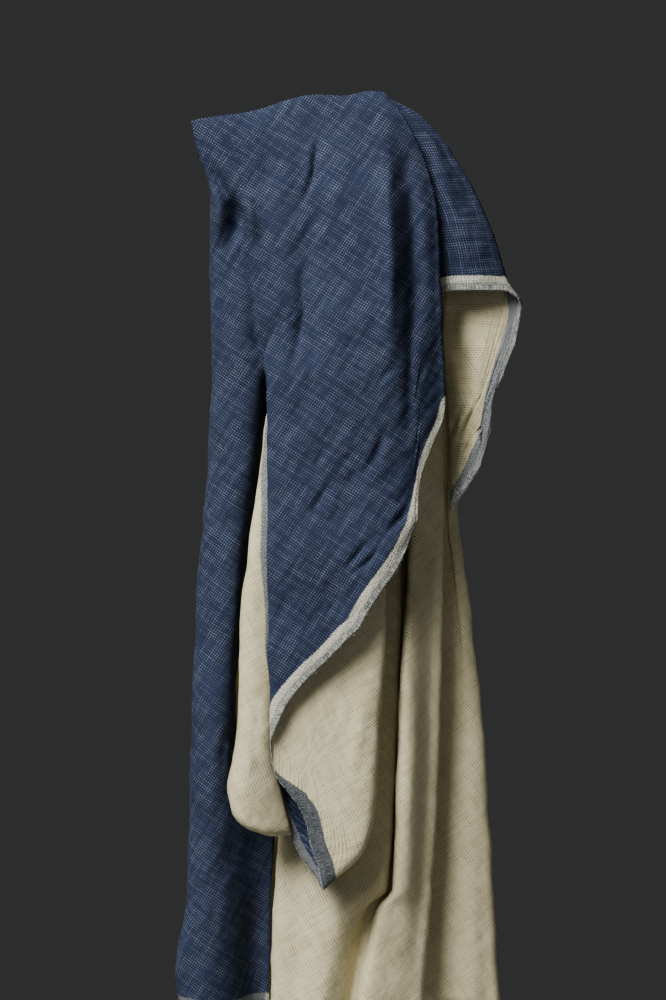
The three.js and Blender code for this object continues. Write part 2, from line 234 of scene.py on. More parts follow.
# The creases of each part of the cloth, which reaches from one line to another.
CREASES: dict[tuple[str, str], tuple[Crease, ...]] = {
    ("left panel", "flap ridge"): (
        Crease(3.4, -4.2, ((-20, 28), (-22, 42), (-24, 59), (-25, 70), (-32, 87), (-39, 98), (-46, 110))),
        Crease(9.0, 2.6, ((-44, 40), (-48, 70), (-58, 96))),
        Crease(10.0, -4.6, (
            (-20, 60), (-28, 100), (-31, 150), (-31, 190), (-24, 230), (-6, 268), (6, 310))),
        Crease(8.0, 2.2, ((-50, 100), (-53, 150), (-55, 200), (-48, 250), (-38, 300))),
        Crease(10.0, 2.2, ((2, 40), (-4, 78), (-16, 112))),
        Crease(4.0, -1.6, ((-12, 88), (-31, 115))),
        Crease(5.0, -2.0, ((-20, 102), (-39, 129), (-46, 148))),
        Crease(4.4, -3.4, ((-31, 128), (-35, 152), (-33, 173), (-35, 190), (-42, 225), (-45, 242))),
        Crease(3.6, -1.3, ((-3, 108), (-20, 133))),
    ),
    ("flap fold", "flap turn"): (
        Crease(3.0, -1.4, ((12, 190), (-4, 214))),
        Crease(3.0, -2.0, ((46, 213), (23, 236))),
        Crease(3.0, -1.8, ((60, 218), (56, 240))),
        Crease(3.6, -1.4, ((-5, 253), (3, 276))),
        Crease(3.2, -2.6, ((33, 260), (23, 293), (8, 313))),
        Crease(3.0, -1.4, ((-14, 280), (-26, 301))),
        Crease(3.0, -1.4, ((10, 298), (2, 315))),
        Crease(3.4, -2.6, ((-11, 308), (-29, 340))),
        Crease(3.0, -2.2, ((53, 322), (31, 355))),
        Crease(3.4, -2.6, ((24, 348), (-8, 390))),
        Crease(3.0, -1.6, ((33, 360), (-4, 390))),
        Crease(6.0, 1.6, ((16, 240), (-10, 300), (-30, 330))),
        Crease(7.0, 1.6, ((40, 290), (12, 338), (-20, 372))),
    ),
    ("left panel", "flap turn"): (
        Crease(3.2, -2.4, ((43, 180), (34, 200), (22, 216))),
        Crease(4.2, -3.4, ((49, 150), (52, 176), (51, 198), (50, 218), (50, 270), (46, 292))),
    ),
    ("left turn", "flap middle"): (
        Crease(4.6, -5.5, ((-113, 46), (-99, 74), (-89, 92), (-84, 108))),
        Crease(6.5, 9.0, ((-104, 66), (-101, 96), (-103, 132))),
        Crease(6.5, -18.0, ((-92, 80), (-85, 99), (-85, 120))),
        Crease(7.5, 3.0, (
            (-108, 34), (-94, 60), (-82, 88), (-76, 116), (-65, 150), (-60, 190), (-60, 216))),
        Crease(7.0, -3.4, ((-82, 104), (-75, 132), (-71, 158), (-69, 190), (-68, 225))),
    ),
    ("left turn", "panel turn"): (
        Crease(3.6, -3.0, ((-80, 108), (-90, 119), (-101, 131))),
        Crease(3.4, 1.8, ((-78, 118), (-90, 129), (-101, 141))),
        Crease(9.0, -2.2, ((-96, 250), (-100, 330))),
        Crease(6.0, 1.6, ((-102, 400), (-108, 560), (-116, 690))),
        Crease(3.2, -1.6, ((-86, 470), (-96, 520), (-100, 560))),
        Crease(3.2, -1.6, ((-98, 612), (-104, 650), (-106, 690))),
    ),
    ("left panel", "flap middle"): (
        Crease(9.0, -3.0, ((-66, 24), (-60, 60), (-58, 90))),
    ),
    ("flap fold", "pleat inner"): (
        Crease(6.0, 6.0, ((30, 6), (32, 60), (34, 120), (35, 200), (34, 260))),
    ),
    ("flap middle", "pleat inner"): (
        Crease(8.0, -9.0, ((42, 22), (48, 62), (52, 107), (54, 170), (54, 240))),
    ),
    ("left panel", "panel end"): (
        Crease(10.0, -6.5, ((-75, 560), (-76, 640), (-78, 880))),
    ),
    ("pleat inner", "hood turn"): (
        Crease(4.6, -5.0, ((58, 34), (66, 62), (72, 100))),
        Crease(5.4, 3.2, ((68, 44), (82, 80), (88, 130))),
        Crease(4.0, -1.2, ((98, 92), (104, 152))),
    ),
    ("hood turn", "hood edge"): (
        Crease(4.5, -8.0, ((86, 160), (89, 190), (96, 226), (98, 250))),
        Crease(3.0, -4.6, ((108, 244), (98, 262), (88, 290))),
        Crease(2.6, -3.8, ((107, 250), (100, 278), (90, 304))),
        Crease(2.6, -3.4, ((104, 240), (92, 256), (80, 284))),
        Crease(3.2, 2.0, ((105, 236), (94, 262), (84, 296))),
        Crease(5.0, 1.8, ((112, 190), (106, 224), (104, 246))),
    ),
    ("slot left", "first edge"): (
        Crease(9.0, 1.8, ((-20, 520), (-14, 600), (-30, 660))),
        Crease(3.6, -1.8, ((-16, 598), (-2, 650), (8, 690))),
        Crease(6.0, -1.8, ((-42, 600), (-36, 680), (-40, 733))),
    ),
    ("second edge", "slot right"): (
        Crease(9.0, 6.0, ((52, 400), (54, 500), (52, 610), (44, 733))),
        Crease(5.0, -1.4, ((62, 380), (64, 460), (60, 540))),
    ),
    ("hidden turn", "flap fold"): (
        Crease(3.6, -1.4, ((0, 440), (6, 500), (-6, 560))),
        Crease(4.0, -1.8, ((4, 452), (-12, 500), (-22, 530))),
        Crease(6.0, 1.8, ((20, 460), (8, 520), (-4, 570))),
    ),
    ("strip edge", "strip turn"): (
        Crease(4.0, -1.6, ((-70, 470), (-72, 520), (-62, 560))),
    ),
}


@dataclass(frozen=True)
class Pull:
    """A place where the cloth is drawn along its own surface, in millimetres."""

    first: str
    last: str
    centre: tuple[float, float]
    radius: float
    across: float
    drop: float


PULLS: tuple[Pull, ...] = (
    Pull("hood turn", "hood edge", (116, 250), 9.0, -6.5, 0.0),
    Pull("hood turn", "hood edge", (118, 268), 8.0, 3.5, 0.0),
    Pull("hood turn", "hood edge", (136, 196), 7.0, 1.6, 0.0),
    Pull("hood turn", "hood edge", (126, 222), 6.0, -1.8, 0.0),
    Pull("flap fold", "flap turn", (52, 338), 8.0, 2.4, 2.4),
    Pull("flap fold", "flap turn", (34, 366), 7.0, -1.6, -1.8),
    Pull("flap fold", "flap turn", (10, 424), 7.0, 1.2, 1.6),
)


def hermite(t: np.ndarray, ends: tuple[np.ndarray, np.ndarray],
            slopes: tuple[np.ndarray, np.ndarray]) -> np.ndarray:
    """A cubic between two values with a slope at each end.

    Args:
        t: Shares of the way, between 0 and 1.
        ends: The two values.
        slopes: The slopes at the two values.

    Returns:
        The value at each share.
    """
    return (ends[0] * (2 * t**3 - 3 * t**2 + 1) + slopes[0] * (t**3 - 2 * t**2 + t)
            + ends[1] * (3 * t**2 - 2 * t**3) + slopes[1] * (t**3 - t**2))


def eased(share: np.ndarray) -> np.ndarray:
    """A smooth rise over shares between 0 and 1."""
    return share * share * (3 - 2 * share)


def travelled(points: np.ndarray, axis: int = 0) -> np.ndarray:
    """Measure the way along lines of points.

    Args:
        points: One line of points, or a grid of them.
        axis: The axis that the lines run along.

    Returns:
        The distance from the start of its line to every point.
    """
    steps = np.linalg.norm(np.diff(points, axis=axis), axis=-1)
    start = np.zeros_like(np.take(steps, [0], axis=axis))
    return np.concatenate([start, np.cumsum(steps, axis=axis)], axis=axis)


def table_value(rows: np.ndarray, key: np.ndarray, column: int) -> np.ndarray:
    """Look one column of a table up, smooth between its rows and level past its ends.

    Args:
        rows: The table, its first column rising.
        key: Where to read it.
        column: Which column to read.

    Returns:
        The value at each key.
    """
    keys, values = rows[:, 0], rows[:, column]
    slopes = np.diff(values) / np.diff(keys)
    tangents = np.empty_like(values)
    tangents[0], tangents[-1] = slopes[0], slopes[-1]
    product = slopes[:-1] * slopes[1:]
    total = np.where(product > 0, slopes[:-1] + slopes[1:], 1.0)
    tangents[1:-1] = np.where(product > 0, 2 * product / total, 0.0)
    held = np.clip(key, keys[0], keys[-1])
    i = np.clip(np.searchsorted(keys, held, side="right") - 1, 0, len(keys) - 2)
    width = keys[i + 1] - keys[i]
    t = (held - keys[i]) / width
    return hermite(t, (values[i], values[i + 1]), (tangents[i] * width, tangents[i + 1] * width))


@dataclass
class Folds:
    """Level sections of the hung cloth, all in millimetres."""

    open_gap: float = 4.0
    shut_spacing: float = 0.6
    ridge_rounding: float = 24.0
    roll_radius: float = 6.0
    shortest_pace: float = 1e-3
    first_front: str = "left panel"
    fold_angles: tuple[float, ...] = (-90.0, -45.0, 0.0, 45.0, 90.0)
    starts: dict[str, int] = field(default_factory=dict)
    hems: list[Hem] = field(default_factory=list)

    def __post_init__(self) -> None:
        """Number the points of a section and note the hem under each."""
        for line in LINES:
            self.starts[line.name] = len(self.hems)
            count = len(self.fold_angles) if line.fold else 1
            before = self.hems[-1] if self.hems else line.hem
            half = count // 2
            self.hems += [before] * half + [line.hem] * (count - half)

    def centre(self, name: str) -> int:
        """The section point in the middle of a line."""
        line = next(line for line in LINES if line.name == name)
        return self.starts[name] + (len(self.fold_angles) // 2 if line.fold else 0)

    def points(self, drop: np.ndarray) -> np.ndarray:
        """The points that level sections pass through.

        Args:
            drop: Drops of the sections, any shape.

        Returns:
            Across and depth, shaped (section points, *drop.shape, 2).
        """
        front = [line.name for line in LINES].index(self.first_front)
        found = []
        for index, line in enumerate(LINES):
            rows = np.array(line.rows, float)
            across, before = table_value(rows, drop, 1), table_value(rows, drop, 2)
            if not line.fold:
                found.append(np.stack([across, before], -1))
                continue
            after = table_value(rows, drop, 3)
            gap = np.abs(after - before)
            openness = np.clip(gap / self.open_gap, 0, 1)
            travel = 1 if index >= front else -1
            for angle in np.radians(self.fold_angles):
                round_in = line.fold * gap / 2 * (1 - math.cos(angle))
                flat_on = travel * self.shut_spacing * math.sin(angle)
                x = across + flat_on * (1 - openness) + round_in * openness
                y = (before + after) / 2 + (after - before) / 2 * math.sin(angle)
                found.append(np.stack([x, y], -1))
        return np.stack(found)

    @staticmethod
    def taken(through: np.ndarray, index: np.ndarray) -> np.ndarray:
        """The section point of a number at every place of a grid of numbers."""
        return through[(index, *np.indices(index.shape))]

    def pace(self, start: np.ndarray, end: np.ndarray) -> np.ndarray:
        """The root of the distance between points, which paces a centripetal curve."""
        squares = np.sum((start - end) ** 2, -1, keepdims=True)
        return np.maximum(squares ** 0.25, self.shortest_pace)

    def section(self, at: np.ndarray, drop: np.ndarray) -> np.ndarray:
        """Points of the middle surface on a centripetal curve through the section points.

        Args:
            at: Places along the section, counted in section points.
            drop: The drop of each place.

        Returns:
            Across and depth of each place.
        """
        through = self.points(drop)
        last = len(through) - 1
        i = np.clip(np.floor(at).astype(int), 0, last - 1)
        t = (at - i)[..., None]
        p1, p2 = self.taken(through, i), self.taken(through, i + 1)
        p0 = np.where((i == 0)[..., None], 2 * p1 - p2, self.taken(through, np.maximum(i - 1, 0)))
        p3 = np.where((i == last - 1)[..., None], 2 * p2 - p1,
                      self.taken(through, np.minimum(i + 2, last)))
        d0, d1, d2 = self.pace(p0, p1), self.pace(p1, p2), self.pace(p2, p3)
        m1 = d1 * ((p1 - p0) / d0 - (p2 - p0) / (d0 + d1) + (p2 - p1) / d1)
        m2 = d1 * ((p2 - p1) / d1 - (p3 - p1) / (d1 + d2) + (p3 - p2) / d2)
        return hermite(t, (p1, p2), (m1, m2))


@dataclass
class Grid:
    """The sheet as columns of points from the ridge to the hems, in millimetres."""

    folds: Folds
    spacing: float = 5.4
    fine_spacing: float = 2.6
    fine_from: str = "flap fold"
    fine_to: str = "flap turn"
    sampled: tuple[float, ...] = (60, 101, 160, 205, 250, 300, 400, 500, 560, 600, 733)
    hem_wobble: float = 0.9
    wobble_pace: float = 2.1
    scan_depth: float = 760.0
    scan_step: float = 1.5
    ridge_start: float = 0.8
    crown: tuple[float, ...] = (0, 1.2, 3, 5.5, 9, 13, 18, 24)
    slit_drop: float = 222.0
    rows_to_slit: int = 48
    rows_below: int = 110
    upper_share: float = 0.6
    hold_drop: float = 4.0

    def columns(self) -> np.ndarray:
        """Place the columns along a section, close enough together at every drop.

        Returns:
            The places, counted in section points.
        """
        through = self.folds.points(np.array(self.sampled, float))
        lengths = np.linalg.norm(np.diff(through, axis=0), axis=-1).max(axis=1)
        slit = self.folds.centre("panel end")
        places: list[float] = []
        fine = range(self.folds.centre(self.fine_from), self.folds.centre(self.fine_to))
        for gap, length in enumerate(lengths):
            spacing = self.fine_spacing if gap in fine else self.spacing
            steps = 1 if gap == slit else max(1, math.ceil(length / spacing))
            places += [gap + step / steps for step in range(steps)]
        return np.array(places + [len(lengths)], float)

    def hem_drops(self, at: np.ndarray, top: np.ndarray) -> np.ndarray:
        """Find the drop at which each column first meets its hem.

        Args:
            at: Places of the columns.
            top: Drops of their upper ends.

        Returns:
            The drop of each column's lower end.
        """
        ends = np.empty_like(at)
        hems = [self.folds.hems[int(place)] for place in at]
        for name, rows in HEMS.items():
            chosen = np.array([hem is name for hem in hems])
            if not chosen.any():
                continue
            table = np.array(rows, float)
            scan = np.arange(0, self.scan_depth, self.scan_step)[:, None] + np.zeros(chosen.sum())
            places = np.broadcast_to(at[chosen], scan.shape)
            across = self.folds.section(places, scan)[..., 0]
            past = scan - table_value(table, across, 1)
            past = np.where(scan < top[chosen] + self.folds.ridge_rounding, -1.0, past)
            first = np.argmax(past > 0, axis=0)
            rows_at = np.arange(chosen.sum())
            high, low = past[first, rows_at], past[first - 1, rows_at]
            share = np.clip(low / (low - high), 0, 1)
            wobble = [noise.noise(Vector((place * self.wobble_pace, 0, 0))) for place in at[chosen]]
            ends[chosen] = (scan[first, rows_at] + (share - 1) * self.scan_step
                            + np.array(wobble) * self.hem_wobble)
        return ends

    def drops(self, top: np.ndarray, end: np.ndarray) -> np.ndarray:
        """Share the rows out between the ridge and the hems.

        Args:
            top: Drops of the upper ends of the columns.
            end: Drops of their lower ends.

        Returns:
            Drops of the rows, one row of the result for each row of the grid.
        """
        split = np.minimum(self.slit_drop, top + self.upper_share * (end - top))
        crown = [top + value for value in self.crown]
        shares = np.linspace(0, 1, self.rows_to_slit - len(self.crown) + 2)[1:]
        upper = [crown[-1] + share * (split - crown[-1]) for share in shares]
        lower = [split + share * (end - split) for share in np.linspace(0, 1, self.rows_below + 1)[1:]]
        return np.array(crown + upper + lower)

    def make(self) -> tuple[np.ndarray, np.ndarray]:
        """Work the whole sheet out.

        Returns:
            Places of the columns, and points shaped (rows, columns, 3).
        """
        at = self.columns()
        ridge = np.array(RIDGE, float)
        crest = table_value(ridge, self.folds.section(at, np.zeros_like(at))[:, 0], 1)
        top = crest + self.ridge_start
        end = self.hem_drops(at, top)
        rolled = np.array([self.folds.hems[int(place)] is Hem.POUCH for place in at])
        radius = self.folds.roll_radius
        cloth_end = end + np.where(rolled, (math.pi - 1) * radius, 0.0)
        drop = self.drops(top, cloth_end)
        turn = np.clip((drop - (end - radius)) / radius, 0, math.pi) * rolled
        fall = np.where(turn > 0, end - radius + radius * np.sin(turn), drop)
        flat = self.folds.section(np.broadcast_to(at, drop.shape), fall)
        closing = 1 - np.clip((fall - crest) / self.folds.ridge_rounding, 0, 1)
        depth = flat[..., 1] * np.sqrt(1 - closing**2) + radius * (1 - np.cos(turn))
        return at, np.stack([flat[..., 0], depth, self.hold_drop - fall], -1)


# ---------------------------------------------------------------- shader helpers


class Value:
    """A shader socket that takes part in Python expressions."""

    def __init__(self, shader: "Shader", socket: bpy.types.NodeSocket) -> None:
        """Keep the socket and the shader that it belongs to."""
        self.shader, self.socket = shader, socket

    def _maths(self, operation: str, *terms: "Value | float") -> "Value":
        """Add one Math node on the terms."""
        node = self.shader.node("ShaderNodeMath", {"operation": operation}, dict(enumerate(terms)))
        return Value(self.shader, node.outputs[0])

    def __add__(self, other: "Value | float") -> "Value":
        """Sum."""
        return self._maths("ADD", self, other)

    def __radd__(self, other: float) -> "Value":
        """Sum, reflected."""
        return self._maths("ADD", other, self)

    def __sub__(self, other: "Value | float") -> "Value":
        """Difference."""
        return self._maths("SUBTRACT", self, other)

    def __rsub__(self, other: float) -> "Value":
        """Difference, reflected."""
        return self._maths("SUBTRACT", other, self)

    def __mul__(self, other: "Value | float") -> "Value":
        """Product."""
        return self._maths("MULTIPLY", self, other)

    def __rmul__(self, other: float) -> "Value":
        """Product, reflected."""
        return self._maths("MULTIPLY", other, self)

    def wave(self, pitch: float) -> "Value":
        """A cosine wave along the value that repeats at a pitch."""
        return self._maths("COSINE", self * (2 * math.pi / pitch))

    def absolute(self) -> "Value":
        """Size of the value without its sign."""
        return self._maths("ABSOLUTE", self)

    def step(self, low: float, high: float) -> "Value":
        """Map the value to a smooth rise.

        Args:
            low: Where the rise starts, at 0.
            high: Where it ends, at 1.

        Returns:
            The height of the rise.
        """
        node = self.shader.node(
            "ShaderNodeMapRange", {"interpolation_type": "SMOOTHSTEP"},
            {"Value": self, "From Min": low, "From Max": high, "To Min": 0.0, "To Max": 1.0})
        return Value(self.shader, node.outputs[0])


class Shader:
    """One material's node tree."""

    def __init__(self, name: str) -> None:
        """Start a material without nodes.

        Args:
            name: The material's name.
        """
        self.material = bpy.data.materials.new(name)
        self.material.use_nodes = True
        self.tree = self.material.node_tree
        self.tree.nodes.clear()

    def node(self, kind: str, settings: dict | None = None, inputs: dict | None = None) -> bpy.types.Node:
        """Add a node.

        Args:
            kind: The node's type.
            settings: Attributes of the node, set first.
            inputs: Values or links of its sockets, by name or number.

        Returns:
            The new node.
        """
        made = self.tree.nodes.new(kind)
        for key, value in (settings or {}).items():
            setattr(made, key, value)
        for key, value in (inputs or {}).items():
            socket = made.inputs[key]
            if isinstance(value, Value):
                self.tree.links.new(value.socket, socket)
            elif isinstance(value, bpy.types.NodeSocket):
                self.tree.links.new(value, socket)
            else:
                socket.default_value = value
        return made

    def attribute(self, name: str) -> Value:
        """A number stored on the mesh."""
        return Value(self, self.node("ShaderNodeAttribute", {"attribute_name": name}).outputs["Fac"])

    def vector(self, x: Value | float, y: Value | float, z: Value | float = 0.0) -> bpy.types.NodeSocket:
        """A vector from three numbers."""
        return self.node("ShaderNodeCombineXYZ", None, {0: x, 1: y, 2: z}).outputs[0]

    def noise(self, place: bpy.types.NodeSocket, scale: float, detail: float = 2.0) -> Value:
        """Add smooth noise between 0 and 1.

        Args:
            place: The coordinates to read it at.
            scale: How fine it is.
            detail: How many finer layers it has.

        Returns:
            The noise.
        """
        made = self.node("ShaderNodeTexNoise", None, {"Vector": place, "Scale": scale, "Detail": detail})
        return Value(self, made.outputs["Fac"])

    def mix(self, share: Value | float, low: object, high: object) -> bpy.types.NodeSocket:
        """Blend two colours.

        Args:
            share: How much of the second colour.
            low: The first colour or its socket.
            high: The second colour or its socket.

        Returns:
            The blended colour.
        """
        made = self.node("ShaderNodeMix", {"data_type": "RGBA", "clamp_factor": True},
                         {0: share, 6: low, 7: high})
        return made.outputs[2]

    def surface(self, inputs: dict) -> bpy.types.Material:
        """Finish the material with one surface.

        Args:
            inputs: Values or links of the surface's sockets.

        Returns:
            The material.
        """
        shader = self.node("ShaderNodeBsdfPrincipled", None, inputs)
        self.node("ShaderNodeOutputMaterial", None, {"Surface": shader.outputs[0]})
        return self.material


def linked(name: str, data: bpy.types.ID) -> bpy.types.Object:
    """Put an object into the scene.

    Args:
        name: Its name.
        data: Its mesh, light or camera.

    Returns:
        The object.
    """
    made = bpy.data.objects.new(name, data)
    bpy.context.scene.collection.objects.link(made)
    return made


def placed(name: str, bm: bmesh.types.BMesh) -> bpy.types.Object:
    """Put a mesh into the scene.

    Args:
        name: The name of the object and its mesh.
        bm: The mesh, which is freed.

    Returns:
        The object.
    """
    mesh = bpy.data.meshes.new(name)
    bm.to_mesh(mesh)
    bm.free()
    return linked(name, mesh)


# ---------------------------------------------------------------- finishes

Colour = tuple[float, float, float, float]


@dataclass(frozen=True)
class Weave:
    """One face of the double gauze and its woven edge, lengths in metres."""

    name: str
    ground: Colour
    ground_deep: Colour
    fleck: Colour
    thread: Colour
    band: Colour
    band_light: Colour
    band_inner: Colour
    # The band's colour where painted shade falls on it; on the layer hem it is also that edge's own
    # darker weave.
    band_dark_and_shaded: Colour
    fleck_size: float
    fleck_depth: float
    thread_amount: float
    hole: Colour = (0.02, 0.022, 0.03, 1.0)
    tie_pitch: float = 0.0020
    sway: float = 0.0016
    band_width: float = 0.0115
    band_blur: float = 0.0006
    band_wander: float = 0.0010
    inner_line: tuple[float, float] = (0.0052, 0.0068)
    # How much of the band's pale inner line is left under painted shade, and how much it gains where
    # unshaded.
    inner_least: float = 0.08
    inner_pale: float = 0.72
    stripe_pitch: float = 0.0019
    stripe_wander: float = 2.0
    hole_pitch: float = 0.0027
    hole_wander: float = 3.0
    hole_line: tuple[float, float] = (0.0002, 0.0009)
    roughness: float = 0.93
    gloss: float = 0.1
    thread_scales: tuple[float, float] = (1400.0, 34.0)
    slub_scales: tuple[float, float] = (250.0, 32.0)
    rib_scales: tuple[float, float] = (210.0, 1500.0)
    shifts: tuple[float, float, float] = (7.3, 3.1, 1.7)
    sway_scale: float = 60.0
    grit_scale: float = 1100.0
    cloud_scale: float = 16.0
    wander_scale: float = 160.0
    speckle_scale: float = 1300.0
    hole_scale: float = 240.0
    small_relief: float = 0.0006
    soft_relief: float = 0.0020
    soft_scale: float = 90.0
    crest: tuple[float, float] = (-0.2, 1.0)
    thread_step: tuple[float, float] = (0.42, 0.7)
    slub_step: tuple[float, float] = (0.75, 1.35)
    cloud_step: tuple[float, float] = (0.3, 0.7)
    fleck_full: float = 0.98
    fleck_slubs: tuple[float, float] = (1.3, 0.25)
    fleck_grit: float = 0.3
    rib_step: tuple[float, float] = (0.44, 0.60)
    speckle_step: tuple[float, float] = (0.46, 0.62)
    inner_speckle: tuple[float, float] = (0.35, 0.6)
    hole_step: tuple[float, float] = (-0.2, 0.9)
    hole_noise: tuple[float, float] = (0.3, 0.6)
    hole_depth: float = 0.6
    light_shares: tuple[float, float, float] = (0.62, 0.38, 0.10)
    relief_shares: tuple[float, float, float, float] = (0.5, 0.5, 0.25, 0.5)
    small_strength: float = 0.5
    soft_strength: float = 0.6

    def face(self, s: Shader, uv: bpy.types.NodeSocket,
             grit: Value) -> tuple[bpy.types.NodeSocket, Value, Value]:
        """Lay thread lines and tie points over the ground.

        Args:
            s: The shader being built.
            uv: The thread coordinates.
            grit: Fine unevenness of the fibres.

        Returns:
            The colour, the tie points and the thread lines.
        """
        split = s.node("ShaderNodeSeparateXYZ", None, {0: uv})
        a, b = Value(s, split.outputs[0]), Value(s, split.outputs[1])
        sway = (s.noise(uv, self.sway_scale) - 0.5) * self.sway
        cross, length = (a + sway).wave(self.tie_pitch), (b - sway).wave(self.tie_pitch)
        ties = (cross + length) * 0.25 + 0.5
        weft_shift, *slub_shifts = self.shifts
        fine, long = self.thread_scales
        warp = s.noise(s.vector(a * fine, b * long), 1.0)
        weft = s.noise(s.vector(a * long + weft_shift, b * fine), 1.0)
        fine, long = self.slub_scales
        slubs = (s.noise(s.vector(a * fine, b * long + slub_shifts[0]), 1.0)
                 + s.noise(s.vector(a * long, b * fine + slub_shifts[1]), 1.0)).step(*self.slub_step)
        lines = cross.step(*self.crest) * warp.step(*self.thread_step)
        lines = (lines + length.step(*self.crest) * weft.step(*self.thread_step)) * slubs
        gain, least = self.fleck_slubs
        fleck = (ties.step(self.fleck_size, self.fleck_full) * (slubs * gain + least)
                 * (grit + self.fleck_grit))
        streak = lines * self.thread_amount
        cloud = s.noise(uv, self.cloud_scale, 3.0)
        ground = s.mix((cloud.step(*self.cloud_step) + grit) * 0.5, self.ground_deep, self.ground)
        ground = s.mix(streak, ground, self.thread)
        return s.mix(fleck * self.fleck_depth, ground, self.fleck), ties, streak

    def selvedge(self, s: Shader, uv: bpy.types.NodeSocket,
                 face: bpy.types.NodeSocket) -> tuple[bpy.types.NodeSocket, Value]:
        """Lay the woven edge over the face, with painted shade where the pale attribute is low and the
        row of small holes where it begins.

        Args:
            s: The shader being built.
            uv: The thread coordinates.
            face: The colour of the plain cloth.

        Returns:
            The colour and the ribs of the woven edge.
        """
        edge, run, pale = (s.attribute(name) for name in ("edge", "run", "pale"))
        wander = (s.noise(uv, self.wander_scale) - 0.5) * self.band_wander
        place = edge + wander
        inside = 1 - place.step(self.band_width - self.band_blur, self.band_width + self.band_blur)
        stripes = (run + wander * self.stripe_wander).wave(self.stripe_pitch) * 0.5 + 0.5
        rib = s.noise(s.vector(edge * self.rib_scales[0], run * self.rib_scales[1]), 1.0, 3.0)
        speckle = s.noise(uv, self.speckle_scale)
        by_rib, by_speckle, by_stripe = self.light_shares
        light = (rib.step(*self.rib_step) * by_rib + speckle.step(*self.speckle_step) * by_speckle
                 + stripes * by_stripe)
        # Where the pale attribute is low the band takes its darkest colour and its pale inner line fades
        # to a trace: painted shade, and on the layer hem also the darker weave of that edge.
        band = s.mix(light, self.band, s.mix(pale, self.band_dark_and_shaded, self.band_light))
        inner = place.step(*self.inner_line) * (pale * self.inner_pale + self.inner_least)
        band = s.mix(inner, band, s.mix(speckle.step(*self.inner_speckle), self.band, self.band_inner))
        near = 1 - (place - self.band_width).absolute().step(*self.hole_line)
        along = run + wander * self.hole_wander
        holes = near * along.wave(self.hole_pitch).step(*self.hole_step)
        patches = s.noise(s.vector(run * self.hole_scale, 0.5), 1.0)
        holes = holes * patches.step(*self.hole_noise) * self.hole_depth
        return s.mix(holes, s.mix(inside, face, band), self.hole), rib * inside

    def material(self) -> bpy.types.Material:
        """Build the face's material.

        Returns:
            The material.
        """
        s = Shader(self.name)
        uv = s.node("ShaderNodeUVMap", {"uv_map": "weave"}).outputs[0]
        grit = s.noise(uv, self.grit_scale)
        face, ties, streak = self.face(s, uv, grit)
        colour, rib = self.selvedge(s, uv, face)
        by_tie, by_grit, by_streak, by_rib = self.relief_shares
        relief = ties * by_tie + grit * by_grit + streak * by_streak + rib * by_rib
        small = s.node("ShaderNodeBump", None, {
            "Strength": self.small_strength, "Distance": self.small_relief, "Height": relief})
        soft = s.node("ShaderNodeBump", None, {
            "Strength": self.soft_strength, "Distance": self.soft_relief,
            "Height": s.noise(uv, self.soft_scale, 4.0), "Normal": small.outputs[0]})
        return s.surface({"Base Color": colour, "Roughness": self.roughness,
                          "Normal": soft.outputs[0], "Specular IOR Level": self.gloss})


NAVY = Weave(
    name="navy gauze", ground=(0.0150, 0.0218, 0.0475, 1.0), ground_deep=(0.0070, 0.0106, 0.0255, 1.0),
    fleck=(0.148, 0.168, 0.212, 1.0), thread=(0.068, 0.083, 0.124, 1.0),
    band=(0.040, 0.050, 0.062, 1.0), band_light=(0.46, 0.45, 0.38, 1.0),
    band_inner=(0.70, 0.66, 0.50, 1.0), band_dark_and_shaded=(0.10, 0.105, 0.11, 1.0),
    fleck_size=0.60, fleck_depth=0.62, thread_amount=0.75)
NATURAL = Weave(
    name="natural gauze", ground=(0.62, 0.565, 0.355, 1.0), ground_deep=(0.46, 0.405, 0.235, 1.0),
    fleck=(0.075, 0.062, 0.032, 1.0), thread=(0.44, 0.385, 0.23, 1.0),
    band=(0.020, 0.025, 0.034, 1.0), band_light=(0.46, 0.47, 0.43, 1.0),
    band_inner=(0.22, 0.235, 0.235, 1.0), band_dark_and_shaded=(0.13, 0.135, 0.135, 1.0),
    fleck_size=0.54, fleck_depth=1.0, thread_amount=0.7)


@dataclass(frozen=True)
class Frayed:
    """Loose thread ends along a woven edge."""

    name: str = "frayed ends"
    pale: Colour = (0.62, 0.60, 0.52, 1.0)
    dark: Colour = (0.09, 0.11, 0.15, 1.0)
    scale: float = 700.0
    pale_step: tuple[float, float] = (0.35, 0.6)
    roughness: float = 0.95
    gloss: float = 0.1

    def material(self) -> bpy.types.Material:
        """Build the material.

        Returns:
            The material.
        """
        s = Shader(self.name)
        place = s.node("ShaderNodeTexCoord").outputs["Object"]
        colour = s.mix(s.noise(place, self.scale).step(*self.pale_step), self.dark, self.pale)
        return s.surface({"Base Color": colour, "Roughness": self.roughness,
                          "Specular IOR Level": self.gloss})


@dataclass(frozen=True)
class Paint:
    """A plain matt paint."""

    name: str = "pale floor"
    colour: Colour = (0.78, 0.78, 0.77, 1.0)
    roughness: float = 0.9

    def material(self) -> bpy.types.Material:
        """Build the material."""
        return Shader(self.name).surface({"Base Color": self.colour, "Roughness": self.roughness})


# ---------------------------------------------------------------- the cloth


class Reading(Enum):
    """How the thread coordinates of a span are read."""

    ALONG = "along the cloth"
    JOINED = "along the cloth, and as seen from the front above the slit"
    FOLLOWING = "as joined, with the place of the anchor line added"
    SEEN = "as seen from the front"


@dataclass(frozen=True)
class Span:
    """Neighbouring columns with one lay of the weave, measured from a line and a level."""

    first: str
    last: str
    grain: float
    reading: Reading = Reading.ALONG
    anchor: str = ""
    level: float = 0.0


